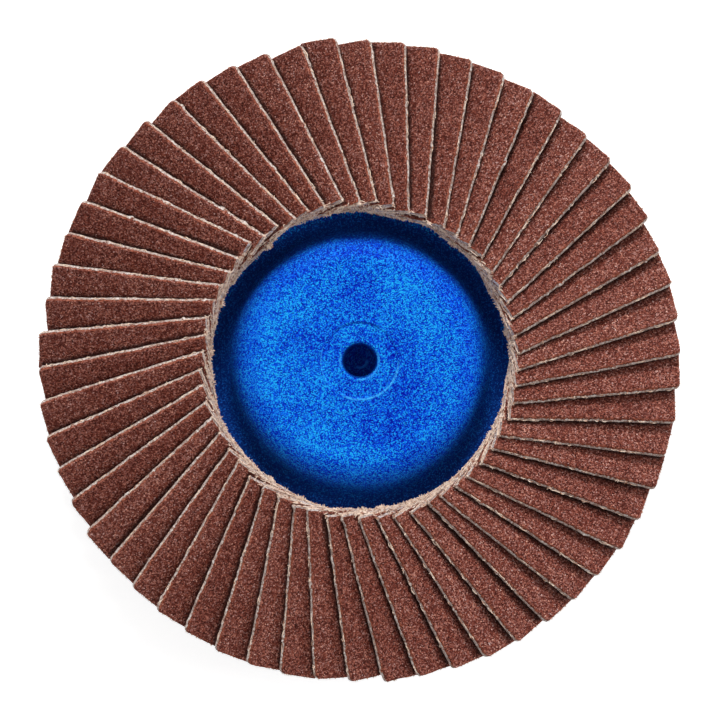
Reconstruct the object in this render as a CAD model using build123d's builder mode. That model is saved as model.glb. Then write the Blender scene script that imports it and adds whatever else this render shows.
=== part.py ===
from build123d import *

import os
from math import cos, radians, sin, sqrt, tan

# Flap disc, 75 mm across: a ring of overlapping abrasive cloth flaps, bonded by their lower edges
# to the conical seat of a moulded backing plate. The plate is one piece with a raised hub at the
# front and, in the hollow behind the hub, a coarse-threaded stud that a quick-change holder grips.
#
# Frame: millimetres, +Z along the disc's axis towards the abrasive face, origin on the axis at
# the level of the rear foot ring on which the disc lies.

# ---------------------------------------------------------------- driving dimensions
# Abrasive flaps
flap_count = 58
first_flap_angle = 4.9       # degrees from +X to the centre line of the first flap
disc_diameter = 75.0         # over the raised outer corners of the flaps
flap_bore_diameter = 34.6    # clear circle inside the flaps' inner ends
flap_width = 14.9            # from the bonded lower edge to the raised edge
flap_thickness = 0.8         # cloth and grit together
flap_lean = 28.0             # degrees by which a flap rises across its width
cone_angle = 5.0             # degrees by which flaps and seat fall from the hub to the rim

# Adhesive bed
glue_line = 0.2              # layer left under the flaps' lower edges, at the plate's rim
bed_depth = 1.5              # from the plate's seat to the top of the bed
bed_inset = 0.5              # setback of the bed from the plate's rim and from the flap bore

# Skirt of the backing plate
rim_setback = 4.5            # of the plate's rim inside the flaps' raised outer corners
rim_thickness = 2.4
rim_edge_radius = 0.9
foot_width = 3.0             # flat ring under the rim

# Raised hub
hub_diameter = 27.4          # where the front face and the sloping flank would meet
hub_height = 9.4             # front face of the hub above the foot ring
hub_shoulder_radius = 2.6
hub_draft = 12.0             # degrees
step_diameter = 9.2          # shallow round step in the middle of the hub's face
step_depth = 0.15

# Core hole in the middle of the hub, left open by the mould's core pin
core_mouth_diameter = 4.3
core_mouth_radius = 0.25
core_end_diameter = 3.4
core_depth = 6.2             # from the hub's stepped face to the end of the tapered wall
core_tip_diameter = 1.5
core_tip_depth = 0.8

# Hollow behind the hub
web_thickness = 2.2          # between the hub's front face and the holder's seat
recess_diameter = 24.8
recess_corner_radius = 0.8
recess_lip_chamfer = 0.5

# Stud
stud_tip_gap = 0.5           # from the foot ring's level up to the stud's tip
collar_diameter = 11.2       # plain collar at the stud's root
collar_length = 1.3
stud_core_diameter = 8.6
stud_tip_chamfer = 0.6
thread_crest_diameter = 10.8
thread_pitch = 2.6
thread_start_angle = 50.0    # degrees from +X to the ridge's lower end
thread_root_width = 1.9
thread_crest_width = 0.8
thread_sink = 0.4            # depth to which the ridge is rooted in the core
thread_runout = 0.2          # from the ridge's upper end to the collar

# ---------------------------------------------------------------- derived sizes
disc_radius = disc_diameter / 2
plate_radius = disc_radius - rim_setback
flap_bore_radius = flap_bore_diameter / 2
flap_pitch = 360 / flap_count
lean = radians(flap_lean)
fall = radians(cone_angle)

# Plan position of a flap that points along +X, taken on its cloth face. The inner end slants in
# plan because the flap falls outwards, and the bore circle touches that slanting line.
half_span = flap_width * cos(lean) / 2
flap_rise = flap_width * sin(lean)
end_slant = tan(lean) * sin(fall)
flap_inner_x = flap_bore_radius * sqrt(1 + end_slant**2) - half_span * end_slant
flap_outer_x = sqrt(disc_radius**2 - half_span**2)
flap_length = (flap_outer_x - flap_inner_x - flap_rise * sin(fall)) / cos(fall)

# The lower edge runs straight over the conical seat and is closest to it at the plate's rim.
rim_crossing_x = sqrt(plate_radius**2 - half_span**2)
flap_foot_z = rim_thickness + glue_line + (rim_crossing_x - flap_inner_x) * tan(fall)

flap_foot = Vector(flap_inner_x, half_span, flap_foot_z)
flap_outward = Vector(cos(fall), 0, -sin(fall))
flap_normal = Vector(cos(lean) * sin(fall), sin(lean), cos(lean) * cos(fall))

bed_inner_radius = flap_bore_radius + bed_inset
bed_outer_radius = plate_radius - bed_inset

foot_inner_radius = plate_radius - foot_width
hub_radius = hub_diameter / 2
step_z = hub_height - step_depth
core_end_z = step_z - core_depth
core_mouth_radius_at_face = core_mouth_diameter / 2
core_tip_radius = core_tip_diameter / 2

seat_z = hub_height - web_thickness
recess_radius = recess_diameter / 2
collar_end_z = seat_z - collar_length
stud_core_radius = stud_core_diameter / 2
thread_depth = (thread_crest_diameter - stud_core_diameter) / 2
thread_start_z = stud_tip_gap + stud_tip_chamfer + thread_root_width / 2
thread_height = collar_end_z - thread_runout - thread_root_width / 2 - thread_start_z


def seat_height(radius):
    """Height of the plate's conical seat at a radius."""
    return rim_thickness + (plate_radius - radius) * tan(fall)


def rear_height(radius):
    """Height of the plate's conical rear face at a radius inside the foot ring."""
    return (foot_inner_radius - radius) * tan(fall)


def flap_plane(index):
    """Plane of one flap's cloth face: origin at the inner end of its lower edge, X outwards."""
    turn = first_flap_angle + index * flap_pitch
    return Plane(
        origin=flap_foot.rotate(Axis.Z, turn),
        x_dir=flap_outward.rotate(Axis.Z, turn),
        z_dir=flap_normal.rotate(Axis.Z, turn),
    )


def circles(part, radius):
    """The circular edges of a part that have this radius, lowest first."""
    rings = part.edges().filter_by(GeomType.CIRCLE)
    return rings.filter_by(lambda ring: abs(ring.radius - radius) < 0.001).sort_by(Axis.Z)


os.makedirs("parts", exist_ok=True)

# ---------------------------------------------------------------- flaps
flaps = []
for flap_index in range(flap_count):
    with BuildPart() as flap:
        with BuildSketch(flap_plane(flap_index)):
            Rectangle(flap_length, flap_width, align=(Align.MIN, Align.MAX))
        extrude(amount=flap_thickness)
    flap.part.label = f"flap_{flap_index + 1:02d}"
    export_step(flap.part, f"parts/{flap.part.label}.step")
    flaps.append(flap.part)

# ---------------------------------------------------------------- adhesive bed
# A ring on the seat, parted by the flaps that stand in it.
with BuildPart() as adhesive_bed:
    with BuildSketch(Plane.XZ):
        with BuildLine():
            Polyline(
                (bed_inner_radius, seat_height(bed_inner_radius)),
                (bed_outer_radius, seat_height(bed_outer_radius)),
                (bed_outer_radius, seat_height(bed_outer_radius) + bed_depth),
                (bed_inner_radius, seat_height(bed_inner_radius) + bed_depth),
                close=True,
            )
        make_face()
    revolve(axis=Axis.Z)
    add(flaps, mode=Mode.SUBTRACT)
adhesive_bed.part.label = "adhesive_bed"
export_step(adhesive_bed.part, "parts/adhesive_bed.step")

# ---------------------------------------------------------------- backing plate
# Coarse right-hand thread ridge, whose straight flanks run on into the stud's core.
with BuildPart() as thread_ridge:
    with BuildLine() as thread_path:
        Helix(thread_pitch, thread_height, stud_core_radius, center=(0, 0, thread_start_z))
    with BuildSketch(Plane(thread_path.line @ 0, x_dir=(1, 0, 0), z_dir=thread_path.line % 0)):
        with BuildLine():
            Polyline(
                (-thread_sink, -thread_root_width / 2),
                (thread_depth, -thread_crest_width / 2),
                (thread_depth, thread_crest_width / 2),
                (-thread_sink, thread_root_width / 2),
                close=True,
            )
        make_face()
    sweep(path=thread_path.line, is_frenet=True)

with BuildPart() as backing_plate:
    # Conical skirt that carries the flaps, with the flat foot ring under its rim
    with BuildSketch(Plane.XZ):
        with BuildLine():
            Polyline(
                (0, seat_height(0)),
                (plate_radius, rim_thickness),
                (plate_radius, 0),
                (foot_inner_radius, 0),
                (0, rear_height(0)),
                close=True,
            )
        make_face()
    revolve(axis=Axis.Z)
    fillet(circles(backing_plate, plate_radius), radius=rim_edge_radius)

    # Raised hub with its rounded shoulder
    with BuildSketch(Plane.XY.offset(hub_height)):
        Circle(hub_radius)
    extrude(amount=-(hub_height - rim_thickness), taper=-hub_draft)
    fillet(circles(backing_plate, hub_radius), radius=hub_shoulder_radius)

    # Hollow behind the hub, up to the holder's seat
    with BuildSketch(Plane.XY):
        Circle(recess_radius)
    extrude(amount=seat_z, mode=Mode.SUBTRACT)
    recess_rims = circles(backing_plate, recess_radius)
    fillet(recess_rims[-1], radius=recess_corner_radius)
    chamfer(recess_rims[0], length=recess_lip_chamfer)

    # Stud: plain collar, then a core with a chamfered tip and the thread ridge
    with BuildSketch(Plane.XY.offset(seat_z)):
        Circle(collar_diameter / 2)
    extrude(amount=-collar_length)
    with BuildSketch(Plane.XY.offset(collar_end_z)):
        Circle(stud_core_radius)
    extrude(amount=-(collar_end_z - stud_tip_gap))
    chamfer(circles(backing_plate, stud_core_radius)[0], length=stud_tip_chamfer)
    add(thread_ridge.part.rotate(Axis.Z, thread_start_angle))

    # Step in the middle of the hub's face
    with BuildSketch(Plane.XY.offset(hub_height)):
        Circle(step_diameter / 2)
    extrude(amount=-step_depth, mode=Mode.SUBTRACT)

    # Tapered blind core hole with its smaller tip and eased mouth
    with BuildSketch(Plane.XZ):
        with BuildLine():
            Polyline(
                (0, step_z),
                (core_mouth_radius_at_face, step_z),
                (core_end_diameter / 2, core_end_z),
                (core_tip_radius, core_end_z - core_tip_depth / 2),
                (core_tip_radius, core_end_z - core_tip_depth),
                (0, core_end_z - core_tip_depth),
                close=True,
            )
        make_face()
    revolve(axis=Axis.Z, mode=Mode.SUBTRACT)
    fillet(circles(backing_plate, core_mouth_radius_at_face)[-1], radius=core_mouth_radius)
backing_plate.part.label = "backing_plate"
export_step(backing_plate.part, "parts/backing_plate.step")
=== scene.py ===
"""Looks of a 75 mm flap disc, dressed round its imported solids. Lengths are in metres."""

import logging
import math
import random
from dataclasses import dataclass
from enum import Enum

import bmesh
import bpy
import numpy as np
from mathutils import Matrix, Vector, noise


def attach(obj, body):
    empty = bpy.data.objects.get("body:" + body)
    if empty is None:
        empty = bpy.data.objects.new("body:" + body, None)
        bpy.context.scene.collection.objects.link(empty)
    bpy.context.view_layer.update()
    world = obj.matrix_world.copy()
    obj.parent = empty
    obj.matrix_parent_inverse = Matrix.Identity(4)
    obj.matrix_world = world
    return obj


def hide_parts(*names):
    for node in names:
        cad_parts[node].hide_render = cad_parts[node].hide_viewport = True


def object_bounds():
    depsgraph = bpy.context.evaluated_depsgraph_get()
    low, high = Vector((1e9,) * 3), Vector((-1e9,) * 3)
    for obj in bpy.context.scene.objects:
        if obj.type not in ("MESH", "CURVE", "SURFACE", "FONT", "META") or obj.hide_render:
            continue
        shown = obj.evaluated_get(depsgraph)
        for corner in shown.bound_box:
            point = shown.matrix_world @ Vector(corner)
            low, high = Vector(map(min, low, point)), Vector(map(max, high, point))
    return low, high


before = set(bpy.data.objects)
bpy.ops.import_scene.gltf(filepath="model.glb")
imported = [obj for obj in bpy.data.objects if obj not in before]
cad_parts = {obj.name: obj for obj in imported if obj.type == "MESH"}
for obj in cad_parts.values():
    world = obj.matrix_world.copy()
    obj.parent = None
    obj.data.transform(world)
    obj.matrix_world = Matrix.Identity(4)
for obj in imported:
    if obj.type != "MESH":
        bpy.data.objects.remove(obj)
CAD_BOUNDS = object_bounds()

MM = 0.001
COAT_ATTRIBUTE = "coat"
TONE_ATTRIBUTE = "tone"
SHELTER_ATTRIBUTE = "shelter"
CLOTH_UV = "cloth_mm"
TOUCH = 1e-7
WHITE = (1.0, 1.0, 1.0, 1.0)
STUB_STEPS = (0.0, 0.35, 0.7, 1.0)
SHORT_STEPS = (0.0, 0.4, 0.75, 1.0)

log = logging.getLogger("flap_disc")


def srgb(red: int, green: int, blue: int) -> tuple[float, float, float, float]:
    """Turns an 8-bit screen colour into the linear colour that a shader socket takes.

    Args:
        red: Red, 0 to 255.
        green: Green, 0 to 255.
        blue: Blue, 0 to 255.

    Returns:
        Linear red, green, blue and an alpha of 1.
    """
    def linear(value: int) -> float:
        """One channel, by the standard curve."""
        share = value / 255
        return share / 12.92 if share <= 0.04045 else ((share + 0.055) / 1.055) ** 2.4

    return (linear(red), linear(green), linear(blue), 1.0)


# ---------------------------------------------------------------- shader graphs


class Graph:
    """Adds nodes to one shader tree and joins them."""

    def __init__(self, tree: bpy.types.NodeTree) -> None:
        """Starts on an empty tree.

        Args:
            tree: The material's or group's node tree.
        """
        self.tree = tree
        self.tree.nodes.clear()

    def node(self, kind: str, inputs: dict | None = None, **settings: object) -> bpy.types.Node:
        """Adds a node.

        Args:
            kind: The node's type name.
            inputs: Input socket names or indices, each with a value or an output socket to link.
            **settings: Attributes to set on the node before its inputs.

        Returns:
            The new node.
        """
        node = self.tree.nodes.new(kind)
        for name, value in settings.items():
            setattr(node, name, value)
        for key, value in (inputs or {}).items():
            self.feed(node.inputs[key], value)
        return node

    def feed(self, socket: bpy.types.NodeSocket, value: object) -> None:
        """Links an output socket to an input, or sets the input's value.

        Args:
            socket: The input.
            value: The output socket or the value.
        """
        if isinstance(value, bpy.types.NodeSocket):
            self.tree.links.new(value, socket)
        else:
            socket.default_value = value

    def math(self, operation: str, first: object, second: object = 0.0,
             clamp: bool = False) -> bpy.types.NodeSocket:
        """Output of a Math node on two values."""
        node = self.node("ShaderNodeMath", {0: first, 1: second}, operation=operation, use_clamp=clamp)
        return node.outputs[0]

    def plus(self, first: object, second: object, clamp: bool = False) -> bpy.types.NodeSocket:
        """Sum of two values, kept within 0 to 1 where clamp is true."""
        return self.math("ADD", first, second, clamp)

    def times(self, first: object, second: object, clamp: bool = False) -> bpy.types.NodeSocket:
        """Product of two values, kept within 0 to 1 where clamp is true."""
        return self.math("MULTIPLY", first, second, clamp)

    def mix(self, factor: object, first: object, second: object,
            blend_type: str = "MIX") -> bpy.types.NodeSocket:
        """Output of a Mix node between two colours."""
        inputs = {0: factor, 6: first, 7: second}
        return self.node("ShaderNodeMix", inputs, data_type="RGBA", blend_type=blend_type).outputs[2]

    def tint(self, colour: object, filter_colour: object) -> bpy.types.NodeSocket:
        """Output of a Mix node that multiplies two colours."""
        return self.mix(1.0, colour, filter_colour, "MULTIPLY")

    def blend(self, factor: object, first: object, second: object) -> bpy.types.NodeSocket:
        """Output of a Mix node between two numbers."""
        node = self.node("ShaderNodeMix", {0: factor, 2: first, 3: second}, data_type="FLOAT")
        return node.outputs[0]

    def span(self, value: object, low: float, high: float,
             to_low: float = 0.0, to_high: float = 1.0) -> bpy.types.NodeSocket:
        """Output of a clamped smooth Map Range node."""
        inputs = {0: value, 1: low, 2: high, 3: to_low, 4: to_high}
        return self.node("ShaderNodeMapRange", inputs, interpolation_type="SMOOTHSTEP").outputs[0]

    def ramp(self, value: object, stops: list[tuple[float, tuple]]) -> bpy.types.NodeSocket:
        """Output of a Color Ramp node.

        Args:
            value: What runs along the ramp.
            stops: Position and linear colour of each stop, in order.

        Returns:
            The colour socket.
        """
        node = self.node("ShaderNodeValToRGB", {0: value})
        elements = node.color_ramp.elements
        elements[0].position, elements[0].color = stops[0]
        elements[1].position, elements[1].color = stops[-1]
        for position, colour in stops[1:-1]:
            elements.new(position).color = colour
        return node.outputs[0]

    def centred(self, value: object, reach: float) -> bpy.types.NodeSocket:
        """A value that averages 0.5, moved to average nought and scaled by reach."""
        return self.math("MULTIPLY", self.math("SUBTRACT", value, 0.5), reach)

    def noise(self, vector: object, scale: float, detail: float = 2.0,
              roughness: float = 0.5) -> bpy.types.NodeSocket:
        """Value of a Noise Texture, about 0.5 on average."""
        inputs = {"Vector": vector, "Scale": scale, "Detail": detail, "Roughness": roughness}
        return self.node("ShaderNodeTexNoise", inputs).outputs[0]

    def place(self) -> bpy.types.NodeSocket:
        """Object coordinates."""
        return self.node("ShaderNodeTexCoord").outputs["Object"]

    def attribute(self, name: str) -> bpy.types.NodeSocket:
        """Value of a mesh attribute."""
        return self.node("ShaderNodeAttribute", attribute_name=name).outputs["Fac"]

    def vector(self, operation: str, first: object, second: object = (0.0, 0.0, 0.0)) -> bpy.types.Node:
        """A Vector Math node on two vectors."""
        return self.node("ShaderNodeVectorMath", {0: first, 1: second}, operation=operation)

    def stretched(self, vector: object, scale: tuple[float, float, float]) -> bpy.types.NodeSocket:
        """Coordinates scaled by axis."""
        return self.node("ShaderNodeMapping", {"Vector": vector, "Scale": scale}).outputs[0]

    def bump(self, height: object, strength: float, distance: float) -> bpy.types.NodeSocket:
        """Normal of a Bump node."""
        inputs = {"Height": height, "Strength": strength, "Distance": distance}
        return self.node("ShaderNodeBump", inputs).outputs[0]

    def surface(self, inputs: dict) -> None:
        """Gives the material a Principled surface with these inputs."""
        shader = self.node("ShaderNodeBsdfPrincipled", inputs)
        self.node("ShaderNodeOutputMaterial", {"Surface": shader.outputs[0]})


def new_group(name: str, inputs: dict[str, str], outputs: dict[str, str]) -> bpy.types.ShaderNodeTree:
    """Makes an empty shader node group with named sockets.

    Args:
        name: The group's name.
        inputs: Socket names, each with its socket type.
        outputs: Socket names, each with its socket type.

    Returns:
        The group.
    """
    group = bpy.data.node_groups.new(name, "ShaderNodeTree")
    for in_out, sockets in (("INPUT", inputs), ("OUTPUT", outputs)):
        for socket, kind in sockets.items():
            group.interface.new_socket(socket, in_out=in_out, socket_type=kind)
    return group


class EffectLibrary:
    """The shader node groups for grains and for weave, each built once and placed where it is needed."""

    def __init__(self) -> None:
        """Builds the groups."""
        self._grains = self._packed_grains()
        self._weave = self._crossed_threads()

    def grains(self, graph: Graph, place: object, size: float, softness: float) -> bpy.types.NodeOutputs:
        """Tone, Hue and Height of packed grains of this size, with this share of finer noise."""
        inputs = {"Vector": place, "Grain Size": size, "Softness": softness}
        return graph.node("ShaderNodeGroup", inputs, node_tree=self._grains).outputs

    def weave(self, graph: Graph, place: object) -> bpy.types.NodeOutputs:
        """Tone and Height of the weave, at coordinates in thread spacings."""
        return graph.node("ShaderNodeGroup", {"Vector": place}, node_tree=self._weave).outputs

    @staticmethod
    def _packed_grains() -> bpy.types.ShaderNodeTree:
        """Packed grains: a random tone and hue per grain and a rounded height.

        Returns:
            Group with Vector, Grain Size and Softness in, Tone, Hue and Height out.
        """
        group = new_group(
            "packed_grains",
            {"Vector": "NodeSocketVector", "Grain Size": "NodeSocketFloat", "Softness": "NodeSocketFloat"},
            {"Tone": "NodeSocketFloat", "Hue": "NodeSocketFloat", "Height": "NodeSocketFloat"},
        )
        graph = Graph(group)
        given = graph.node("NodeGroupInput").outputs
        scale = graph.math("DIVIDE", 1.0, given["Grain Size"])
        cells = graph.node("ShaderNodeTexVoronoi", {"Vector": given["Vector"], "Scale": scale}).outputs
        tone, hue, _ = graph.node("ShaderNodeSeparateColor", {0: cells["Color"]}).outputs
        fine = graph.noise(given["Vector"], graph.times(scale, 0.9))
        softened = graph.blend(given["Softness"], tone, graph.span(fine, 0.25, 0.75))
        dome = graph.times(graph.math("SUBTRACT", 1.0, cells["Distance"]), 0.6)
        height = graph.plus(dome, graph.times(tone, 0.4))
        graph.node("NodeGroupOutput", {"Tone": softened, "Hue": hue, "Height": height})
        return group

    @staticmethod
    def _crossed_threads() -> bpy.types.ShaderNodeTree:
        """Plain weave from two crossing sets of threads.

        Returns:
            Group with Vector (in thread spacings) in, Tone and Height out.
        """
        group = new_group(
            "crossed_threads",
            {"Vector": "NodeSocketVector"},
            {"Tone": "NodeSocketFloat", "Height": "NodeSocketFloat"},
        )
        graph = Graph(group)
        given = graph.node("NodeGroupInput").outputs["Vector"]
        along, across, _ = graph.node("ShaderNodeSeparateXYZ", {0: given}).outputs
        waves = (graph.math("SINE", graph.times(way, math.pi)) for way in (along, across))
        warp, weft = (graph.math("ABSOLUTE", wave) for wave in waves)
        cell = graph.plus(graph.math("FLOOR", along), graph.math("FLOOR", across))
        height = graph.blend(graph.math("PINGPONG", cell, 1.0), warp, weft)
        fuzz = graph.noise(given, 2.3, 3.0, 0.6)
        tone = graph.plus(graph.times(height, 0.6), graph.times(fuzz, 0.5), clamp=True)
        graph.node("NodeGroupOutput", {"Tone": tone, "Height": height})
        return group


class Finish(Enum):
    """The finishes on the disc and round it."""

    COATED_CLOTH = "coated_cloth"
    LINT = "cotton_lint"
    MOULDED_PLASTIC = "moulded_plastic"
    CURED_RESIN = "cured_resin"
    FLOOR = "studio_floor"


def new_material(finish: Finish) -> tuple[bpy.types.Material, Graph]:
    """Makes an empty node material.

    Args:
        finish: The finish it is named after.

    Returns:
        The material and the graph of its tree.
    """
    material = bpy.data.materials.new(finish.value)
    material.use_nodes = True
    return material, Graph(material.node_tree)


@dataclass(frozen=True)
class CoatedCloth:
    """Brown grit on pale cotton, parted where the coat attribute (depth inside the grit, in mm) is nought."""

    grain_size: float = 0.145 * MM
    grain_softness: float = 0.3
    thread_spacing_mm: float = 0.42
    # Colour of the painted shade where the next flap's raised edge overhangs the grit.
    crevice_shade: tuple = srgb(30, 11, 8)
    pit: tuple = srgb(34, 10, 6)
    deep: tuple = srgb(90, 37, 28)
    body: tuple = srgb(130, 69, 57)
    pale: tuple = srgb(182, 126, 113)
    glint: tuple = srgb(236, 200, 188)
    warm_grains: tuple = (1.08, 0.93, 0.82, 1.0)
    cool_grains: tuple = (0.94, 1.04, 1.14, 1.0)
    rim: tuple = srgb(188, 104, 72)
    cotton: tuple = srgb(234, 224, 218)
    cotton_shade: tuple = srgb(148, 110, 90)
    soaked: tuple = srgb(138, 82, 60)

    def build(self, effects: EffectLibrary) -> bpy.types.Material:
        """Builds the material.

        Args:
            effects: The shared node groups.

        Returns:
            The material for a flap.
        """
        material, graph = new_material(Finish.COATED_CLOTH)
        place = graph.place()
        coat = graph.attribute(COAT_ATTRIBUTE)
        grit = effects.grains(graph, place, self.grain_size, self.grain_softness)
        flat = graph.node("ShaderNodeUVMap", uv_map=CLOTH_UV).outputs[0]
        weave = effects.weave(graph, graph.stretched(flat, (1 / self.thread_spacing_mm,) * 3))

        chips = graph.centred(graph.noise(place, 2600.0, 4.0, 0.65), 0.8)
        is_grit = graph.span(graph.plus(coat, chips), -0.025, 0.025)
        cotton = self._cotton_colour(graph, place, weave)
        colour = graph.mix(is_grit, cotton, self._grit_colour(graph, place, coat, grit))
        height = graph.blend(is_grit, graph.times(weave["Height"], 0.5), grit["Height"])
        graph.surface({
            "Base Color": colour,
            "Roughness": graph.blend(is_grit, 0.95, graph.span(grit["Tone"], 0.0, 1.0, 0.75, 0.45)),
            "Normal": graph.bump(height, 0.85, 0.12 * MM),
            "Specular IOR Level": 0.15,
        })
        return material

    def _grit_colour(self, graph: Graph, place: object, coat: object,
                     grit: bpy.types.NodeOutputs) -> bpy.types.NodeSocket:
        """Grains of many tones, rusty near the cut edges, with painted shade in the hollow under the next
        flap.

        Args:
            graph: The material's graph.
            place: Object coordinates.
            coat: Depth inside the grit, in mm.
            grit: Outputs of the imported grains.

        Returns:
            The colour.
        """
        blotch = graph.centred(graph.noise(place, 520.0, 3.0), 0.16)
        flap_tone = graph.centred(graph.attribute(TONE_ATTRIBUTE), 0.07)
        shade = graph.plus(graph.plus(grit["Tone"], blotch), flap_tone, clamp=True)
        colour = graph.ramp(shade, [
            (0.0, self.pit), (0.3, self.deep), (0.6, self.body), (0.87, self.pale), (1.0, self.glint),
        ])
        hue = graph.span(grit["Hue"], 0.15, 0.85)
        colour = graph.tint(colour, graph.mix(hue, self.warm_grains, self.cool_grains))

        worn = graph.span(graph.noise(place, 1700.0, 3.0, 0.6), 0.35, 0.65, 0.15, 0.95)
        by_grain = graph.span(grit["Tone"], 0.0, 0.6, 0.15, 0.55)
        near_rim = graph.times(graph.times(graph.span(coat, 0.54, 0.24), by_grain), worn)
        colour = graph.mix(near_rim, colour, self.rim)

        # Painted shade: grit darkened beside the next flap's raised edge, where its shadow falls.
        ragged = graph.centred(graph.noise(place, 2400.0, 4.0, 0.65), 0.7)
        from_neighbour = graph.plus(graph.attribute(SHELTER_ATTRIBUTE), ragged)
        crevice_shade_mask = graph.times(graph.span(from_neighbour, 0.58, 0.06, 0.0, 0.8), graph.span(coat, 0.35, 0.8))
        return graph.mix(crevice_shade_mask, colour, self.crevice_shade)

    def _cotton_colour(self, graph: Graph, place: object,
                       weave: bpy.types.NodeOutputs) -> bpy.types.NodeSocket:
        """Beaded cotton threads, soaked with resin in layers.

        Args:
            graph: The material's graph.
            place: Object coordinates.
            weave: Outputs of the weave.

        Returns:
            The colour.
        """
        soak = graph.span(graph.noise(place, 900.0, 4.0, 0.65), 0.25, 0.6, 0.65, 1.3)
        beads = graph.span(graph.noise(place, 3300.0, 2.0, 0.6), 0.36, 0.6, 0.2, 1.25)
        tone = graph.times(graph.times(weave["Tone"], soak, clamp=True), beads, clamp=True)
        layers = graph.stretched(place, (1.0, 1.0, 4.0))
        resin = graph.span(graph.noise(layers, 1100.0, 4.0, 0.65), 0.54, 0.66, 0.0, 0.8)
        return graph.mix(resin, graph.mix(tone, self.cotton_shade, self.cotton), self.soaked)


@dataclass(frozen=True)
class CottonLint:
    """Loose cotton threads and fibres at the cut edges."""

    light: tuple = srgb(252, 230, 210)
    shade: tuple = srgb(184, 126, 98)

    def build(self) -> bpy.types.Material:
        """Builds the material.

        Returns:
            The material for lint.
        """
        material, graph = new_material(Finish.LINT)
        place = graph.place()
        tone = graph.noise(place, 2600.0, 3.0, 0.6)
        graph.surface({
            "Base Color": graph.mix(graph.span(tone, 0.34, 0.54), self.shade, self.light),
            "Roughness": 0.95,
            "Normal": graph.bump(graph.noise(place, 9000.0), 0.4, 0.03 * MM),
            "Specular IOR Level": 0.2,
        })
        return material


class PlasticPoint:
    """What the plastic's layers go by: a point's grain and its place round the axis."""

    def __init__(self, graph: Graph, grain: bpy.types.NodeOutputs) -> None:
        """Measures the point.

        Args:
            graph: The material's graph.
            grain: Outputs of its packed grains.
        """
        self.graph = graph
        self.grain = grain
        self.place = graph.place()
        east, north, self.height = graph.node("ShaderNodeSeparateXYZ", {0: self.place}).outputs
        self.level = graph.node("ShaderNodeCombineXYZ", {0: east, 1: north}).outputs[0]
        self.radius = graph.vector("LENGTH", self.level).outputs["Value"]
        self.way = graph.vector("NORMALIZE", self.level).outputs[0]


@dataclass(frozen=True)
class Arc:
    """A soft-ended arc round the axis: radius and width in mm, bearing and half angle in degrees."""

    middle: float
    width: float
    clock: float
    half: float
    strength: float

    def mask(self, point: PlasticPoint) -> bpy.types.NodeSocket:
        """The arc as a mask.

        Args:
            point: The point that is painted.

        Returns:
            The mask, as high as the arc's strength.
        """
        graph = point.graph
        bearing = math.radians(self.clock)
        middle_way = (math.sin(bearing), math.cos(bearing), 0.0)
        facing = graph.vector("DOT_PRODUCT", point.way, middle_way).outputs["Value"]
        edge, full = (math.cos(math.radians(share * self.half)) for share in (1.0, 0.6))
        off = graph.math("ABSOLUTE", graph.math("SUBTRACT", point.radius, self.middle * MM))
        across = graph.span(off, 0.5 * self.width * MM, 0.25 * self.width * MM)
        return graph.times(graph.span(facing, edge, full, 0.0, self.strength), across)


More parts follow.
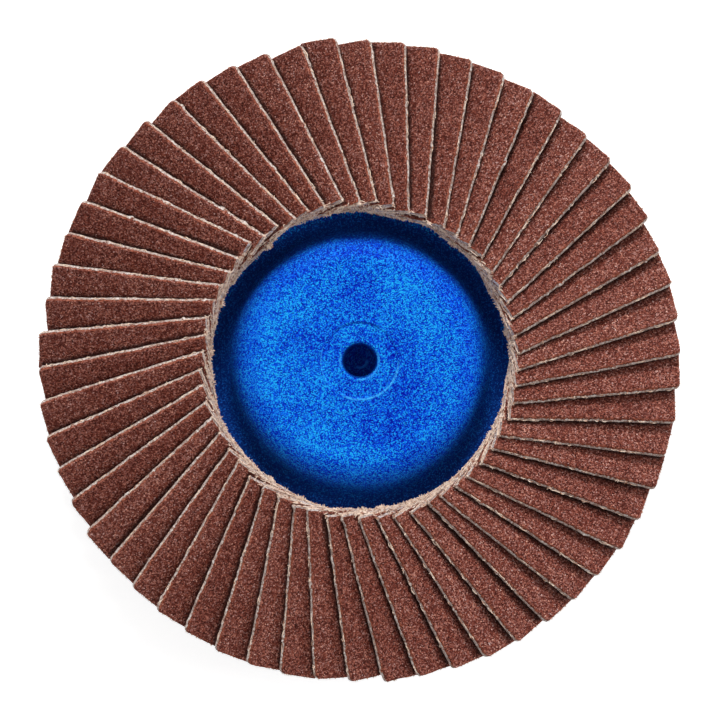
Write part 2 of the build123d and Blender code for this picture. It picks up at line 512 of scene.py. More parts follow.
@dataclass(frozen=True)
class MouldedPlastic:
    """Blue plastic with a fine matte sparkle, with painted shade on the hub's shoulder, in the groove and
    inside the core hole, and painted highlights on the step and round the core's mouth.
    """

    grain_size: float = 0.12 * MM
    grain_softness: float = 0.1
    deep: tuple = srgb(0, 10, 158)
    body: tuple = srgb(1, 83, 234)
    bright: tuple = srgb(32, 186, 255)
    # Colours and extent of the painted shade in the groove and the core hole.
    painted_shade: tuple = srgb(11, 50, 132)
    painted_shade_speck: tuple = srgb(30, 112, 226)
    shade_inner: float = 13.3 * MM
    shade_outer: float = 16.4 * MM
    shade_far: float = 17.6 * MM
    shade_centre: tuple[float, float, float] = (0.1 * MM, -0.5 * MM, 0.0)
    shoulder_inner: float = 11.7 * MM
    shoulder_outer: float = 16.8 * MM
    # Painted shade: darkens the shoulder's grains where the hub falls away into the groove.
    shoulder_shade_tint: tuple = (0.8, 0.72, 0.97, 1.0)
    # Colour of the painted highlights where edges catch the light.
    painted_highlight: tuple = srgb(62, 178, 255)
    shaded: tuple = srgb(0, 40, 140)
    face_height: float = 9.4 * MM
    core_radius: float = 2.1 * MM
    # Painted highlights: arcs where the step and the core's mouth catch the light.
    highlight_arcs: tuple[Arc, ...] = (
        Arc(4.56, 0.32, 150.0, 64.0, 1.0),
        Arc(4.56, 0.16, 262.0, 35.0, 0.4),
        Arc(2.24, 0.3, 125.0, 72.0, 0.7),
        Arc(2.3, 0.34, 270.0, 24.0, 0.6),
    )
    step_shadow: Arc = Arc(4.5, 0.3, 354.0, 42.0, 0.6)
    foot_highlight: Arc = Arc(0.84, 0.4, 150.0, 75.0, 1.0)
    # (east, north, reach, strength) in mm: soft patches that make the hub lighter or darker by place; the
    # pair at north 14 and -14 is painted shade on the top of the shoulder and painted light on its bottom.
    tone_and_light_patches: tuple[tuple[float, float, float, float], ...] = (
        (0.0, 8.3, 4.4, -0.10),
        (-5.2, 1.9, 3.8, -0.11),
        (4.6, 1.5, 2.8, -0.14),
        (2.8, -7.5, 6.5, -0.13),
        (5.9, -2.8, 4.0, -0.10),
        (0.0, 14.0, 7.0, -0.05),
        (0.0, -14.0, 8.0, 0.04),
        (4.0, 10.0, 4.0, 0.07),
        (-10.4, 5.8, 4.0, 0.07),
        (8.3, 3.8, 4.4, 0.06),
        (-12.0, -1.6, 4.0, 0.07),
        (-6.5, -9.0, 3.5, 0.07),
    )

    def build(self, effects: EffectLibrary) -> bpy.types.Material:
        """Builds the material.

        Args:
            effects: The shared node groups.

        Returns:
            The material for the backing plate.
        """
        material, graph = new_material(Finish.MOULDED_PLASTIC)
        grain = effects.grains(graph, graph.place(), self.grain_size, self.grain_softness)
        point = PlasticPoint(graph, grain)
        # Painted highlight: a lit crescent on the flash at the core hole's foot.
        flash = graph.times(self.foot_highlight.mask(point), graph.span(point.height, 3.5 * MM, 3.4 * MM))
        colour = graph.mix(flash, self._painted_edge_light(point, self._grain_colour(point)), self.painted_highlight)
        # Painted shade: the masks of the groove and the core hole, where shade falls.
        painted_shade = graph.math("MAXIMUM", self._groove_shade(point), self._core_shade(point, flash))
        painted_shade_colour = graph.mix(graph.span(grain["Tone"], 0.6, 1.0), self.painted_shade, self.painted_shade_speck)
        graph.surface({
            "Base Color": graph.mix(painted_shade, colour, painted_shade_colour),
            "Roughness": graph.span(grain["Tone"], 0.0, 1.0, 0.68, 0.5),
            "Normal": graph.bump(grain["Height"], 0.6, 0.05 * MM),
            "Specular IOR Level": 0.06,
        })
        return material

    def _grain_colour(self, point: PlasticPoint) -> bpy.types.NodeSocket:
        """Sparkling grains in soft clouds, with painted shade as a deeper blue on the hub's shoulder and soft
        patches lighter or darker by place.

        Args:
            point: The point that is painted.

        Returns:
            The colour.
        """
        graph = point.graph
        cloud = graph.centred(graph.noise(point.place, 150.0), 0.22)
        blotch = graph.centred(graph.noise(point.place, 420.0, 3.0, 0.6), 0.3)
        shade = graph.plus(graph.plus(point.grain["Tone"], blotch), cloud)
        # Soft patches by place; the two on the shoulder are painted shade at the top and painted light at the
        # bottom.
        for east, north, reach, strength in self.tone_and_light_patches:
            centre = (east * MM, north * MM, self.face_height)
            away = graph.vector("DISTANCE", point.place, centre).outputs["Value"]
            shade = graph.plus(shade, graph.span(away, reach * MM, 0.2 * reach * MM, 0.0, strength))
        colour = graph.ramp(shade, [(0.08, self.deep), (0.5, self.body), (0.92, self.bright)])
        # Painted shade: the shoulder's grains tinted darker and deeper blue where the light falls off down
        # the slope.
        shoulder_shade = graph.times(
            graph.span(point.radius, self.shoulder_inner, self.shoulder_inner + 0.9 * MM),
            graph.span(point.radius, self.shoulder_outer, self.shoulder_outer - 1.0 * MM),
        )
        return graph.tint(colour, graph.mix(shoulder_shade, WHITE, self.shoulder_shade_tint))

    def _painted_edge_light(self, point: PlasticPoint, colour: object) -> bpy.types.NodeSocket:
        """Broken painted highlights on the step's lit side and round the core's mouth, and painted shade on
        the step's shaded side.

        Args:
            point: The point that is painted.
            colour: The colour before.

        Returns:
            The colour.
        """
        graph = point.graph
        breaks = graph.span(graph.noise(point.place, 2600.0, 3.0, 0.7), 0.36, 0.58, 0.25, 1.0)
        on_face = graph.times(graph.span(point.height, 8.9 * MM, 9.0 * MM), breaks)
        # Painted highlights on the lit sides of the step and the core's mouth.
        highlight = 0.0
        for arc in self.highlight_arcs:
            highlight = graph.math("MAXIMUM", highlight, arc.mask(point))
        colour = graph.mix(graph.times(highlight, on_face), colour, self.painted_highlight)
        return graph.mix(graph.times(self.step_shadow.mask(point), on_face), colour, self.shaded)

    def _groove_shade(self, point: PlasticPoint) -> bpy.types.NodeSocket:
        """Ragged ring of painted shade over the foot of the shoulder and the groove, a little off the disc's
        centre.

        Args:
            point: The point that is painted.

        Returns:
            The mask.
        """
        graph = point.graph
        reach = graph.vector("DISTANCE", point.level, self.shade_centre).outputs["Value"]
        reach = graph.plus(reach, graph.centred(graph.noise(point.place, 900.0, 4.0, 0.7), 1.0 * MM))
        reach = graph.plus(reach, graph.centred(point.grain["Hue"], 1.1 * MM))
        ring = graph.times(graph.span(reach, self.shade_inner, self.shade_outer),
                           graph.span(reach, self.shade_far + 0.6 * MM, self.shade_far))
        return graph.times(ring, graph.span(point.height, 2.9 * MM, 3.3 * MM))

    def _core_shade(self, point: PlasticPoint, flash: object) -> bpy.types.NodeSocket:
        """Painted shade inside the core hole, less of it on the flash.

        Args:
            point: The point that is painted.
            flash: Mask of the painted highlight on the flash.

        Returns:
            The mask.
        """
        graph = point.graph
        inside = graph.times(
            graph.span(point.radius, self.core_radius + 0.02 * MM, self.core_radius - 0.04 * MM),
            graph.span(point.height, self.face_height - 0.2 * MM, self.face_height - 0.9 * MM),
        )
        return graph.times(inside, graph.math("SUBTRACT", 0.56, flash, clamp=True))


@dataclass(frozen=True)
class CuredResin:
    """Dark amber adhesive, set hard."""

    dark: tuple = srgb(62, 38, 22)
    light: tuple = srgb(128, 88, 52)

    def build(self) -> bpy.types.Material:
        """Builds the material.

        Returns:
            The material for the adhesive bed.
        """
        material, graph = new_material(Finish.CURED_RESIN)
        flow = graph.noise(graph.place(), 500.0, 4.0, 0.6)
        graph.surface({
            "Base Color": graph.mix(graph.span(flow, 0.3, 0.7), self.dark, self.light),
            "Roughness": graph.span(flow, 0.3, 0.7, 0.25, 0.5),
            "Normal": graph.bump(flow, 0.6, 0.3 * MM),
        })
        return material


# ---------------------------------------------------------------- pieces


def link(name: str, data: bpy.types.ID) -> bpy.types.Object:
    """Puts a mesh, a lamp or a camera into the scene.

    Args:
        name: The object's name.
        data: What it shows.

    Returns:
        The object.
    """
    item = bpy.data.objects.new(name, data)
    bpy.context.scene.collection.objects.link(item)
    return item


def solid_piece(name: str, sheet: bmesh.types.BMesh, sharp_degrees: float) -> bpy.types.Object:
    """Turns a finished bmesh into an object, smooth but for its sharp edges.

    Args:
        name: The object's name.
        sheet: The bmesh, freed here.
        sharp_degrees: Angle from which an edge is sharp.

    Returns:
        The object.
    """
    mesh = bpy.data.meshes.new(name)
    sheet.to_mesh(mesh)
    sheet.free()
    mesh.polygons.foreach_set("use_smooth", [True] * len(mesh.polygons))
    mesh.set_sharp_from_angle(angle=math.radians(sharp_degrees))
    return link(name, mesh)


# ---------------------------------------------------------------- flaps


@dataclass(frozen=True)
class FlapFrame:
    """Where one flap's solid is: the middle of its cloth face's inner lower corner and its axes."""

    name: str
    corner: Vector
    outward: Vector
    upward: Vector
    normal: Vector
    length: float
    width: float
    thickness: float

    @classmethod
    def from_node(cls, name: str) -> "FlapFrame":
        """Reads a flap's place from its solid's corners.

        Args:
            name: The CAD node.

        Returns:
            The flap's frame.
        """
        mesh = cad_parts[name].data
        points = np.array([tuple(vertex.co) for vertex in mesh.vertices])
        corners = np.unique(points.round(7), axis=0)
        centre = corners.mean(axis=0)
        _, _, rows = np.linalg.svd(corners - centre)
        long_axis, wide_axis, thin_axis = (Vector(row) for row in rows)
        outward = long_axis * math.copysign(1.0, long_axis.dot(Vector(centre).to_2d().to_3d()))
        upward = wide_axis * math.copysign(1.0, wide_axis.z)
        normal = thin_axis * math.copysign(1.0, thin_axis.z)
        spans = [np.ptp((corners - centre) @ np.array(axis)) for axis in (outward, upward, normal)]
        length, width, thickness = (float(value) for value in spans)
        corner = Vector(centre) - outward * length / 2 - upward * width / 2 - normal * thickness / 2
        return cls(name, corner, outward, upward, normal, length, width, thickness)

    def line_over(self, other: "FlapFrame") -> tuple[float, float]:
        """Where another flap's raised edge lies over this one's grit, seen from straight above.

        Args:
            other: The flap that lies over this one.

        Returns:
            Distance from this flap's raised edge at its inner end, and how much it grows per unit of length.
        """
        raised = other.corner + other.upward * other.width
        backs, alongs = [], []
        for point in (raised, raised + other.outward * other.length):
            drop = ((point - self.corner).dot(self.normal) - self.thickness) / self.normal.z
            spot = point - Vector((0.0, 0.0, drop)) - self.corner
            alongs.append(spot.dot(self.outward))
            backs.append(self.width - spot.dot(self.upward))
        fan = (backs[1] - backs[0]) / (alongs[1] - alongs[0])
        return backs[0] - fan * alongs[0], fan

    def matrix(self) -> Matrix:
        """Matrix from the flap's own axes (along, across, through) to the row frame."""
        turn = Matrix((self.outward, self.upward, self.normal)).transposed().to_4x4()
        return Matrix.Translation(self.corner) @ turn


@dataclass
class Lint:
    """Loose threads and fibres along one flap's cut edges, in the flap's own axes."""

    place: FlapFrame
    draw: random.Random
    end_line: tuple[float, float]
    tip_line: tuple[float, float]
    end_strands: int = 15
    end_stubs: int = 40
    mat_threads: int = 34
    chunk_share: float = 0.45
    chunk_threads: int = 24
    tip_stubs: int = 26
    edge_curls: int = 13
    edge_tufts: int = 3
    corner_fibres: int = 12

    def __post_init__(self) -> None:
        """Makes the empty curve that the fibres go into."""
        self.curve = bpy.data.curves.new("lint", "CURVE")
        self.curve.dimensions = "3D"
        self.curve.bevel_depth = MM
        self.curve.bevel_resolution = 0
        self.curve.use_fill_caps = True
        self.curve.resolution_u = 2

    def build(self) -> bpy.types.Mesh:
        """Builds all the lint of the flap.

        Returns:
            One mesh of thin tapered tubes.
        """
        for lay in (self._lay_end_strands, self._lay_end_stubs, self._lay_mat, self._lay_chunk,
                    self._lay_tip_stubs, self._lay_edge_curls, self._lay_tufts):
            lay()
        holder = bpy.data.objects.new("lint", self.curve)
        mesh = bpy.data.meshes.new_from_object(holder)
        bpy.data.objects.remove(holder)
        bpy.data.curves.remove(self.curve)
        return mesh

    def _end_at(self, across: float) -> float:
        """Place along the flap of its cut inner end."""
        slip, slant = self.end_line
        return slip + slant * (across - self.place.width / 2)

    def _fibre(self, points: list[Vector], radius: float) -> None:
        """Adds one fibre that thins towards its ends.

        Args:
            points: Its route.
            radius: Its radius in mm at the middle.
        """
        spline = self.curve.splines.new("NURBS")
        spline.points.add(len(points) - 1)
        for index, (point, spot) in enumerate(zip(spline.points, points)):
            point.co = (*spot, 1.0)
            share = index / (len(points) - 1)
            point.radius = radius * (0.45 + 0.55 * math.sin(math.pi * min(max(share, 0.08), 0.92)))
        spline.order_u = 3
        spline.use_endpoint_u = True

    def _lay_end_strands(self) -> None:
        """Threads pulled loose from the weave, lying along the cut inner end."""
        draw, place = self.draw, self.place
        for _ in range(self.end_strands):
            span = draw.uniform(0.8, 3.4) * MM
            start = draw.uniform(0.25 * place.width, place.width - 0.3 * span)
            reach, drift = draw.uniform(-0.04, 0.15), draw.gauss(0.0, 0.07)
            level = draw.uniform(0.05, 0.85) * place.thickness
            points = []
            for step in range(6):
                share = step / 5
                across = min(start + span * share, place.width + draw.uniform(-0.04, 0.05) * MM)
                along = self._end_at(across) - (reach + drift * share + draw.gauss(0.0, 0.035)) * MM
                points.append(Vector((along, across, level + draw.gauss(0.0, 0.03) * MM)))
            self._fibre(points, draw.uniform(0.04, 0.08))

    def _lay_end_stubs(self) -> None:
        """Short thread ends that stand out of the cut inner end."""
        draw, place = self.draw, self.place
        for _ in range(self.end_stubs):
            across = draw.triangular(0.3, 1.0, 0.64) * place.width
            level = draw.uniform(0.1, 0.8) * place.thickness
            root = Vector((self._end_at(across) + 0.03 * MM, across, level))
            way = Vector((-1.0, draw.gauss(0.0, 0.7), draw.gauss(0.1, 0.4))).normalized()
            length = draw.uniform(0.1, 0.45) * MM
            bend = Vector((0.0, draw.gauss(0.0, 0.08), draw.gauss(0.0, 0.06))) * MM
            points = [root + way * length * share + bend * share * share for share in STUB_STEPS]
            self._fibre(points, draw.uniform(0.035, 0.07))

    def _lay_mat(self) -> None:
        """Matted threads that lie on the grit beside the cut inner end."""
        draw, place = self.draw, self.place
        for _ in range(self.mat_threads):
            span = draw.uniform(0.25, 1.1) * MM
            start = draw.uniform(0.3 * place.width, 0.93 * place.width - span)
            inset, drift = draw.uniform(-0.05, 0.34), draw.gauss(0.0, 0.1)
            points = []
            for step in range(4):
                share = step / 3
                across = min(start + span * share, place.width)
                along = self._end_at(across) + (inset + drift * share + draw.gauss(0.0, 0.06)) * MM
                level = place.thickness + draw.uniform(-0.04, 0.05) * MM
                points.append(Vector((along, across, level)))
            self._fibre(points, draw.uniform(0.04, 0.085))

    def _lay_chunk(self) -> None:
        """A torn bunch of thread ends that some flaps have at the inner end."""
        draw, place = self.draw, self.place
        if draw.random() > self.chunk_share:
            return
        middle, reach = draw.uniform(0.52, 0.74) * place.width, draw.uniform(0.35, 0.75) * MM
        for _ in range(self.chunk_threads):
            offset = draw.uniform(-0.6, 0.6)
            across = middle + offset * MM
            level = draw.uniform(0.3, 1.0) * place.thickness
            root = Vector((self._end_at(across) + 0.05 * MM, across, level))
            length = reach * (1.0 - 0.7 * abs(offset)) * draw.uniform(0.7, 1.1)
            way = Vector((-1.0, draw.gauss(0.0, 0.35), draw.gauss(0.0, 0.2))).normalized()
            points = [root + way * length * share for share in STUB_STEPS]
            self._fibre(points, draw.uniform(0.06, 0.10))

    def _lay_tip_stubs(self) -> None:
        """Short thread ends that stand out of the cut outer end where it shows."""
        draw, place = self.draw, self.place
        for _ in range(self.tip_stubs):
            back = draw.uniform(0.2, 3.9) * MM
            root = Vector((place.length + self.tip_line[0] + self.tip_line[1] * back, place.width - back,
                           draw.uniform(0.15, 0.85) * place.thickness))
            way = Vector((1.0, draw.gauss(0.0, 0.9), draw.gauss(0.0, 0.4))).normalized()
            length = draw.uniform(0.08, 0.27) * MM
            points = [root - way * 0.05 * MM + way * length * share for share in SHORT_STEPS]
            self._fibre(points, draw.uniform(0.035, 0.07))

    def _lay_edge_curls(self) -> None:
        """Threads that curl off the raised edge."""
        draw, place = self.draw, self.place
        for _ in range(self.edge_curls):
            start = draw.uniform(0.1 * MM, place.length - 0.9 * MM)
            span = draw.uniform(0.3, 1.3) * MM
            level = draw.uniform(0.15, 0.7) * place.thickness
            bulge = draw.uniform(0.04, 0.15) * MM
            points = []
            for step in range(5):
                share = step / 4
                across = place.width + bulge * math.sin(math.pi * share) + draw.gauss(0.03, 0.02) * MM
                points.append(Vector((start + span * share, across, level + draw.gauss(0.0, 0.04) * MM)))
            self._fibre(points, draw.uniform(0.035, 0.075))

    def _lay_tufts(self) -> None:
        """Small tufts at the raised edge and at its inner corner."""
        draw, place = self.draw, self.place
        spots = [(draw.uniform(0.5 * MM, place.length - 0.5 * MM), 6) for _ in range(self.edge_tufts)]
        spots.append((self._end_at(place.width) + 0.02 * MM, self.corner_fibres))
        for along, count in spots:
            for _ in range(count):
                beside = along + draw.gauss(0.0, 0.07) * MM
                root = Vector((beside, place.width, draw.uniform(0.2, 0.7) * place.thickness))
                way = Vector((draw.gauss(0.0, 0.8), 0.8, draw.gauss(0.1, 0.5))).normalized()
                length = draw.uniform(0.1, 0.3) * MM
                bend = Vector((draw.gauss(0.0, 0.1), 0.0, draw.gauss(0.0, 0.05))) * MM
                points = [root + way * length * share + bend * share * share for share in SHORT_STEPS]
                self._fibre(points, draw.uniform(0.035, 0.06))


class Lane(Enum):
    """Rows of a flap's noise, one for each thing that it moves."""

    EDGE_THREAD = 3.0
    EDGE_FRAY = 5.0
    EDGE_WAVE = 7.0
    EDGE_RIPPLE = 8.0
    EDGE_LUMP = 9.0
    INNER_END = 11.0
    OUTER_END = 15.0


@dataclass
class Flap:
    """One flap of coated cloth with its cut edges, waviness and lint."""

    place: FlapFrame
    neighbour_line: tuple[float, float]
    seed: int
    rows: int = 132
    columns: tuple[float, ...] = (0.0, 0.12, 0.28, 0.5, 0.9, 1.6, 2.8, 4.3, 5.2, 8.0)
    wall_cuts: int = 3
    thread_pitch: float = 0.42 * MM
    grit_depth: float = 0.31 * MM
    edge_fray: float = 0.10 * MM
    edge_wave: float = 0.08 * MM
    edge_lump: float = 0.5 * MM
    edge_calm: float = 1.2 * MM
    edge_middle: float = 0.32
    edge_spread: float = 0.42
    inner_swell: float = 0.09 * MM
    swell_reach: float = 1.0 * MM
    inner_wave: float = 0.09 * MM
    outer_wave: float = 0.07 * MM
    end_ripple: float = 0.05 * MM
    end_middle: float = 0.4
    end_spread: float = 0.5
    end_fray: float = 0.13 * MM
    end_chip: float = 0.22 * MM
    end_bevel: float = 0.24 * MM
    tip_show: float = 4.3 * MM
    tip_fade: float = 0.9 * MM
    tip_reach: float = 2.0 * MM
    tip_round: float = 0.16 * MM
    round_across: float = 0.28 * MM
    round_along: float = 0.5 * MM
    grit_ease: float = 0.05 * MM
    ease_level: float = 0.9
    bow_across: float = 0.7
    bow_through: float = 0.6
    sharp_degrees: float = 50.0

    def __post_init__(self) -> None:
        """Draws the flap's own small differences from its neighbours."""
        draw = random.Random(self.seed)
        self.draw = draw
        self.skew = math.radians(draw.gauss(0.0, 0.42))
        self.slip = draw.gauss(0.0, 0.09) * MM
        self.rise = draw.gauss(0.0, 0.05) * MM
        self.bow = draw.gauss(0.0, 0.11) * MM
        self.end_slant = draw.gauss(-0.10, 0.016)
        self.end_slip = draw.gauss(0.34, 0.14) * MM
        self.tip_slant = max(0.0, draw.gauss(0.08, 0.05))
        self.tip_slip = draw.gauss(0.15, 0.07) * MM
        self.tone = draw.random()
        self.offset = Vector([draw.uniform(-50.0, 50.0) for _ in range(3)])

    def wander(self, along: float, pitch: float, lane: Lane, shift: float = 0.0) -> float:
        """Smooth seeded noise along the flap, about -1 to 1."""
        return noise.noise(self.offset + Vector((along / pitch, lane.value + shift, 0.0)))

    def build(self) -> bpy.types.Object:
        """Builds the flap's mesh object.

        Returns:
            The object, in the row frame, with the cloth's faces on material index 0 and the lint's on index
            1.
        """
        sheet = self._slab()
        self._store_coat(sheet)
        self._shape(sheet)
        cloth_faces = len(sheet.faces)
        end_line, tip_line = (self.end_slip, self.end_slant), (self.tip_slip, self.tip_slant)
        lint = Lint(self.place, self.draw, end_line, tip_line).build()
        sheet.from_mesh(lint)
        bpy.data.meshes.remove(lint)
        sheet.faces.ensure_lookup_table()
        for face in sheet.faces[cloth_faces:]:
            face.material_index = 1
        bmesh.ops.transform(sheet, matrix=self.place.matrix() @ self._settling(), verts=sheet.verts[:])
        return solid_piece(f"cloth_{self.place.name}", sheet, self.sharp_degrees)

    def _settling(self) -> Matrix:
        """The flap's own turn in its plane about its raised outer corner, and its small slips.

        Returns:
            The matrix, in the flap's own axes.
        """
        pivot = Vector((self.place.length, self.place.width, 0.0))
        turn = Matrix.Translation(pivot) @ Matrix.Rotation(self.skew, 4, "Z") @ Matrix.Translation(-pivot)
        return Matrix.Translation((self.slip, self.rise, 0.0)) @ turn

    def _slab(self) -> bmesh.types.BMesh:
        """A closed slab with graded columns that are narrow at the raised edge.

        Returns:
            The mesh, with x along, y across from the bonded edge and z through the thickness.
        """
        place = self.place
        sheet = bmesh.new()
        bmesh.ops.create_grid(sheet, x_segments=self.rows, y_segments=len(self.columns), size=1.0)
        lines = [place.width - step * MM for step in self.columns] + [0.0]
        lines.reverse()
        for vertex in sheet.verts:
            line = round((vertex.co.y + 1.0) / 2.0 * len(self.columns))
            vertex.co = Vector(((vertex.co.x + 1.0) / 2.0 * place.length, lines[line], 0.0))
        raised = bmesh.ops.extrude_face_region(sheet, geom=sheet.faces[:])
        top = [item for item in raised["geom"] if isinstance(item, bmesh.types.BMVert)]
        bmesh.ops.translate(sheet, verts=top, vec=(0.0, 0.0, place.thickness))
        half = place.thickness / 2
        walls = [edge for edge in sheet.edges if abs(edge.verts[0].co.z - edge.verts[1].co.z) > half]
        bmesh.ops.subdivide_edges(sheet, edges=walls, cuts=self.wall_cuts, use_grid_fill=True)
        bmesh.ops.recalc_face_normals(sheet, faces=sheet.faces[:])
        return sheet

    def _store_coat(self, sheet: bmesh.types.BMesh) -> None:
        """Stores each point's depth in the grit, distance from the next flap, tone and flat place.

        Args:
            sheet: The plain slab.
        """
        place = self.place
        attributes = (COAT_ATTRIBUTE, TONE_ATTRIBUTE, SHELTER_ATTRIBUTE)
        for name in attributes:
            sheet.verts.layers.float.new(name)
        coat, tone, shelter = (sheet.verts.layers.float[name] for name in attributes)
        flat = sheet.loops.layers.uv.new(CLOTH_UV)
        line_start, line_growth = self.neighbour_line
        for vertex in sheet.verts:
            along, across, through = vertex.co
            down = place.thickness - through
            to_sides = min(place.width - across + down, place.length - along + down, across + down)
            to_inner_end = along + down - self.end_chip
            inside = self.grit_depth + min(to_sides, to_inner_end) - 2.0 * down
            vertex[coat] = (-self.grit_depth if through < TOUCH else inside) / MM
            vertex[tone] = self.tone
            vertex[shelter] = (line_start + line_growth * along - (place.width - across)) / MM
        for face in sheet.faces:
            for loop in face.loops:
                along, across, through = loop.vert.co / MM
                loop[flat].uv = (along + self.tone * 7.0, across + through)

    def _edge_shift(self, along: float, level: float) -> Vector:
        """How far the cut raised edge departs from a straight one.

        Args:
            along: Place along the edge.
            level: Share of the thickness, from the cloth face up.

        Returns:
            The shift.
        """
        cloth = max(0.0, 1.0 - abs(level - self.edge_middle) / self.edge_spread)
        thread = 0.5 - 0.5 * math.cos(math.tau * along / self.thread_pitch)
        fray = 1.6 * self.wander(along, 0.34 * MM, Lane.EDGE_THREAD, level)
        fray += self.wander(along, 0.9 * MM, Lane.EDGE_FRAY)
        lump = max(0.0, self.wander(along, 1.1 * MM, Lane.EDGE_LUMP) - 0.2)
        near_corner = min(1.0, (self.place.length - along) / self.edge_calm)
        near_inner = max(0.0, 1.0 - along / self.swell_reach)
        depth = self.edge_fray * max(-0.4, 0.35 + 0.4 * thread + fray)
        depth += self.edge_lump * lump
        depth += self.inner_swell * near_inner
        shift = Vector((0.0, cloth * depth * near_corner, 0.0))
        wave = self.wander(along, 2.6 * MM, Lane.EDGE_WAVE)
        wave += 0.35 * self.wander(along, 0.7 * MM, Lane.EDGE_RIPPLE)
        shift.y += self.edge_wave * wave
        if level > self.ease_level:
            shift += Vector((0.0, -self.grit_ease, -self.grit_ease))
        return shift

    def _end_shift(self, across: float, level: float, inner: bool) -> Vector:
        """How far a cut end departs from a straight one.

        Args:
            across: Place along the end.
            level: Share of the thickness, from the cloth face up.
            inner: Whether it is the frayed inner end.

        Returns:
            The shift.
        """
        lane, way, depth, wave = Lane.OUTER_END, 1.0, 0.0, self.outer_wave
        if inner:
            lane, way, depth, wave = Lane.INNER_END, -1.0, self.end_fray, self.inner_wave
        cloth = max(0.0, 1.0 - abs(level - self.end_middle) / self.end_spread)
        fray = 1.1 * self.wander(across, 0.3 * MM, lane, level)
        fray += 0.8 * self.wander(across, 1.1 * MM, lane, 2.0)
        shift = Vector((way * cloth * depth * (0.8 + fray), 0.0, 0.0))
        shift.x += wave * self.wander(across, 1.7 * MM, lane, 4.0)
        shift.x += self.end_ripple * self.wander(across, 0.5 * MM, lane, 6.0)
        if inner:
            shift.x += self.end_bevel * level * level
        if level > self.ease_level:
            shift.z -= self.grit_ease
        return shift

    def _tip_shift(self, to_edge: float, to_tip: float) -> Vector:
        """The outer end's slant where it shows, and its rounded raised corner.

        Args:
            to_edge: Distance from the raised edge.
            to_tip: Distance from the outer end.

        Returns:
            The shift.
        """
        shown = max(0.0, 1.0 - max(0.0, to_edge - self.tip_show) / self.tip_fade)
        near_tip = max(0.0, 1.0 - to_tip / self.tip_reach)
        at_corner = self.tip_round * max(0.0, 1.0 - to_edge / self.round_across)
        out = shown * (self.tip_slip + self.tip_slant * to_edge) * near_tip
        back = at_corner * max(0.0, 1.0 - to_tip / self.round_along)
        down = 0.6 * at_corner * max(0.0, 1.0 - to_tip / (0.6 * self.round_along))
        return Vector((out - back, -down, 0.0))

    def _shape(self, sheet: bmesh.types.BMesh) -> None:
        """Gives the slab its frayed cut edges, eased grit corners and slight waviness.

        Args:
            sheet: The slab.
        """
        place = self.place
        for vertex in sheet.verts:
            along, across, through = vertex.co
            level = through / place.thickness
            share = along / place.length
            shift = Vector((0.0, 0.0, 0.0))
            if across > place.width - TOUCH:
                shift += self._edge_shift(along, level)
            if along < TOUCH:
                shift += self._end_shift(across, level, True)
            elif along > place.length - TOUCH:
                shift += self._end_shift(across, level, False)
            shift.x += (self.end_slip + self.end_slant * (across - place.width / 2)) * (1.0 - share)
            shift += self._tip_shift(place.width - across, place.length - along)
            bulge = self.bow * math.sin(math.pi * share) * across / place.width
            shift.y += self.bow_across * bulge
            shift.z += self.bow_through * bulge
            vertex.co += shift


@dataclass
class FlapRing:
    """The ring of flaps."""

    prefix: str = "flap_"
    first_seed: int = 4100

    def build(self, cloth: bpy.types.Material, lint: bpy.types.Material) -> None:
        """Builds a dressed piece for each flap's solid.

        Args:
            cloth: The coated cloth.
            lint: The loose cotton.
        """
        faces = 0
        names = sorted(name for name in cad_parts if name.startswith(self.prefix))
        places = [FlapFrame.from_node(name) for name in names]
        lines = [places[0].line_over(place) for place in (places[-1], places[1])]
        line = min((found for found in lines if found[0] > 0.0), key=lambda found: found[0])
        log.info("next flap's edge: %.2f mm at the inner end, %.3f per unit", line[0] / MM, line[1])
        for index, name in enumerate(names):
            piece = Flap(places[index], line, self.first_seed + index).build()
            piece.data.materials.append(cloth)
            piece.data.materials.append(lint)
            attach(piece, "root")
            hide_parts(name)
            faces += len(piece.data.polygons)
        log.info("flaps: %d pieces, %d faces", len(names), faces)


# ---------------------------------------------------------------- hub


@dataclass(frozen=True)
class SpunRing:
    """A small ring or arc of plastic on the hub, spun from a closed section of (radius, height) in mm."""

    name: str
    section: tuple[tuple[float, float], ...]
    start: float = 0.0
    sweep: float = 360.0
    ragged: float = 0.0
    steps: int = 144
    sharp_degrees: float = 40.0

    def build(self, plastic: bpy.types.Material) -> bpy.types.Object:
        """Builds the ring.

        Args:
            plastic: Its finish.

        Returns:
            The piece.
        """
        sheet = bmesh.new()
        corners = [sheet.verts.new((radius * MM, 0.0, height * MM)) for radius, height in self.section]
        face = sheet.faces.new(corners)
        closed = self.sweep >= 360.0
        start = Matrix.Rotation(math.radians(self.start), 3, "Z")
        bmesh.ops.rotate(sheet, verts=corners, cent=(0, 0, 0), matrix=start)
        geom = [*face.edges, *face.verts] if closed else [face, *face.edges, *face.verts]
        if closed:
            sheet.faces.remove(face)
        bmesh.ops.spin(sheet, geom=geom, axis=(0, 0, 1), cent=(0, 0, 0), steps=self.steps,
                       angle=math.radians(self.sweep), use_merge=closed, use_duplicate=False)
        bmesh.ops.recalc_face_normals(sheet, faces=sheet.faces[:])
        for vertex in sheet.verts:
            wobble = noise.noise(vertex.co / (0.35 * MM)) + 0.6 * noise.noise(vertex.co / (0.12 * MM))
            vertex.co.xy *= 1.0 + self.ragged * MM * wobble / vertex.co.xy.length
        piece = solid_piece(self.name, sheet, self.sharp_degrees)
        piece.data.materials.append(plastic)
        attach(piece, "root")
        log.info("%s: %d faces", self.name, len(piece.data.polygons))
        return piece


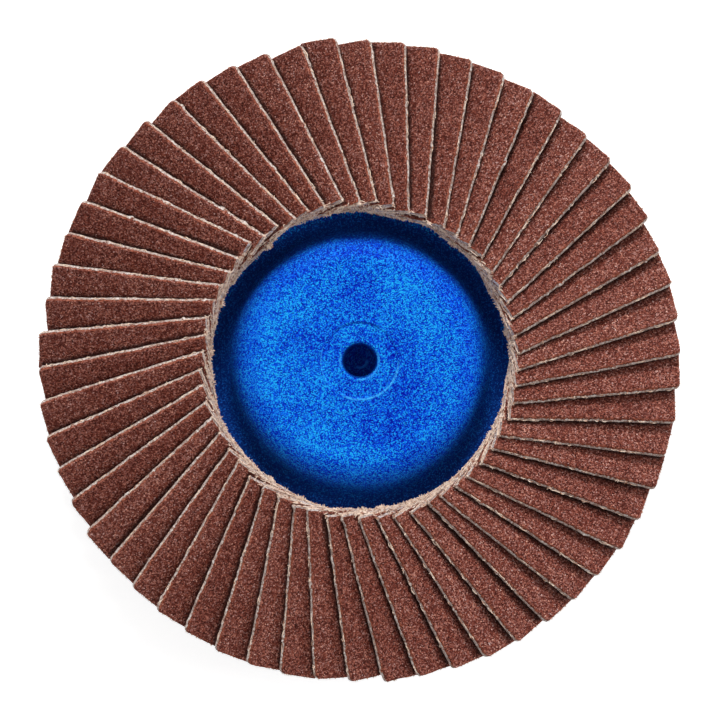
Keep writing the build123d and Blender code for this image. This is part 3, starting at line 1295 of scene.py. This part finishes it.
@dataclass(frozen=True)
class HubDetail:
    """Eased step, worn hole rim, soft shoulder and the sliver of flash at the hole's foot."""

    step: SpunRing = SpunRing(
        "hub_step_easing", ((4.64, 9.24), (4.64, 9.41), (4.56, 9.41), (4.3, 9.24)), ragged=0.025)
    rim: SpunRing = SpunRing(
        "core_mouth_rim", ((2.1, 8.9), (2.1, 9.1), (2.34, 9.275), (2.5, 9.24)), ragged=0.04)
    shoulder: SpunRing = SpunRing(
        "soft_shoulder", (
            (12.3, 9.25), (12.9, 9.06), (13.5, 8.73), (14.05, 8.24), (14.5, 7.62), (14.85, 6.9),
            (15.12, 6.15), (15.4, 5.42), (15.74, 4.78), (16.15, 4.28), (16.6, 3.96), (17.0, 3.81),
            (17.0, 3.7), (14.9, 3.7), (14.2, 6.6), (13.6, 8.2), (12.4, 9.1),
        ), steps=180)
    flash: SpunRing = SpunRing(
        "core_foot_flash", ((0.72, 3.0), (0.74, 3.12), (0.86, 3.06), (0.92, 3.0)),
        start=205.0, sweep=130.0, ragged=0.02, steps=40)

    def build(self, plastic: bpy.types.Material) -> None:
        """Builds the pieces of blue plastic."""
        for ring in (self.step, self.rim, self.shoulder, self.flash):
            ring.build(plastic)


# ---------------------------------------------------------------- studio


@dataclass
class Studio:
    """Floor, lamps and camera."""

    camera_distance: float = 0.45
    disc_radius: float = 37.5 * MM
    disc_radius_px: float = 320.6
    disc_centre_px: tuple[float, float] = (359.7, 360.6)
    frame_px: float = 720.0
    rim_height: float = 9.8 * MM
    sensor_mm: float = 36.0
    lamp_distance: float = 0.9
    floor_half: float = 3.0
    floor_gap: float = 0.05 * MM
    floor_glow: float = 0.7
    world_strength: float = 0.4
    lamps: tuple[tuple[str, float, float, tuple[float, float], float], ...] = (
        ("key", 0.0, 38.0, (0.3, 0.2), 0.42),
        ("right", -85.0, 36.0, (0.35, 0.3), 0.13),
        ("left", 90.0, 36.0, (0.5, 0.3), 0.03),
    )

    def build(self) -> None:
        """Sets up everything round the disc."""
        self._floor()
        self._lamps()
        self._world()
        self._camera()

    def _floor(self) -> None:
        """A white floor that keeps a soft shadow and shows white in mirrors."""
        sheet = bmesh.new()
        bmesh.ops.create_grid(sheet, x_segments=1, y_segments=1, size=self.floor_half)
        mesh = bpy.data.meshes.new("studio_floor")
        sheet.to_mesh(mesh)
        sheet.free()
        mesh.transform(Matrix.Translation((0.0, 0.0, CAD_BOUNDS[0][2] - self.floor_gap)))
        floor = link("studio_floor", mesh)
        material, graph = new_material(Finish.FLOOR)
        paint = graph.node("ShaderNodeBsdfDiffuse", {"Color": (0.8, 0.8, 0.8, 1.0)})
        glow = graph.node("ShaderNodeEmission", {"Color": WHITE, "Strength": self.floor_glow})
        both = graph.node("ShaderNodeAddShader", {0: paint.outputs[0], 1: glow.outputs[0]})
        rays = graph.node("ShaderNodeLightPath").outputs
        seen = graph.math("MAXIMUM", rays["Is Camera Ray"], rays["Is Glossy Ray"])
        seen = graph.math("MAXIMUM", seen, rays["Is Transmission Ray"])
        mixed = graph.node("ShaderNodeMixShader", {0: seen, 1: paint.outputs[0], 2: both.outputs[0]})
        graph.node("ShaderNodeOutputMaterial", {"Surface": mixed.outputs[0]})
        mesh.materials.append(material)

    @staticmethod
    def _lamp(name: str, place: Vector, size: tuple[float, float], power: float) -> None:
        """Adds a long soft lamp that faces the disc.

        Args:
            name: The lamp's name.
            place: Where it stands.
            size: Its width and height.
            power: Its power in watts.
        """
        lamp = bpy.data.lights.new(name, "AREA")
        lamp.shape = "RECTANGLE"
        lamp.size, lamp.size_y = size
        lamp.energy = power
        holder = link(name, lamp)
        holder.location = place
        holder.rotation_euler = (-place).to_track_quat("-Z", "Y").to_euler()

    def _lamps(self) -> None:
        """Key lamp beyond the top edge of the disc and a weaker one at each side, none of them overhead."""
        for name, turn, rise, size, share in self.lamps:
            place = Vector((0.0, self.lamp_distance, 0.0))
            place.rotate(Matrix.Rotation(math.radians(rise), 3, "X"))
            place.rotate(Matrix.Rotation(math.radians(turn), 3, "Z"))
            power = math.pi ** 2 * self.lamp_distance ** 2 * share / math.sin(math.radians(rise))
            self._lamp(name, place, size, power)

    def _world(self) -> None:
        """Even pale surroundings."""
        world = bpy.data.worlds.new("studio")
        world.use_nodes = True
        background = world.node_tree.nodes["Background"].inputs
        background["Color"].default_value = WHITE
        background["Strength"].default_value = self.world_strength
        bpy.context.scene.world = world

    def _camera(self) -> None:
        """A long lens straight above the disc, scaled so that the rim fills its circle."""
        lens = bpy.data.cameras.new("camera")
        lens.sensor_width = self.sensor_mm
        seen_width = self.disc_radius * self.frame_px / self.disc_radius_px
        lens.lens = self.sensor_mm * self.camera_distance / seen_width
        lens.clip_start = 0.01
        lens.shift_x = (self.frame_px / 2 - self.disc_centre_px[0]) / self.frame_px
        lens.shift_y = (self.disc_centre_px[1] - self.frame_px / 2) / self.frame_px
        camera = link("camera", lens)
        camera.location = (0.0, 0.0, self.rim_height + self.camera_distance)
        bpy.context.scene.camera = camera


def paint_node(name: str, material: bpy.types.Material) -> None:
    """Gives a CAD node one material all over.

    Args:
        name: The node.
        material: Its finish.
    """
    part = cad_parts[name]
    for slot in part.material_slots:
        slot.material = material
    log.info("%s: %s", name, material.name)


def main() -> None:
    """Builds the pieces, dresses the nodes and sets up the studio."""
    logging.basicConfig(level=logging.INFO, format="%(name)s: %(message)s")
    effects = EffectLibrary()
    FlapRing().build(CoatedCloth().build(effects), CottonLint().build())
    plastic = MouldedPlastic().build(effects)
    paint_node("backing_plate", plastic)
    HubDetail().build(plastic)
    paint_node("adhesive_bed", CuredResin().build())
    Studio().build()
    bpy.context.scene.view_settings.view_transform = "Standard"


if __name__ == "__main__":
    main()
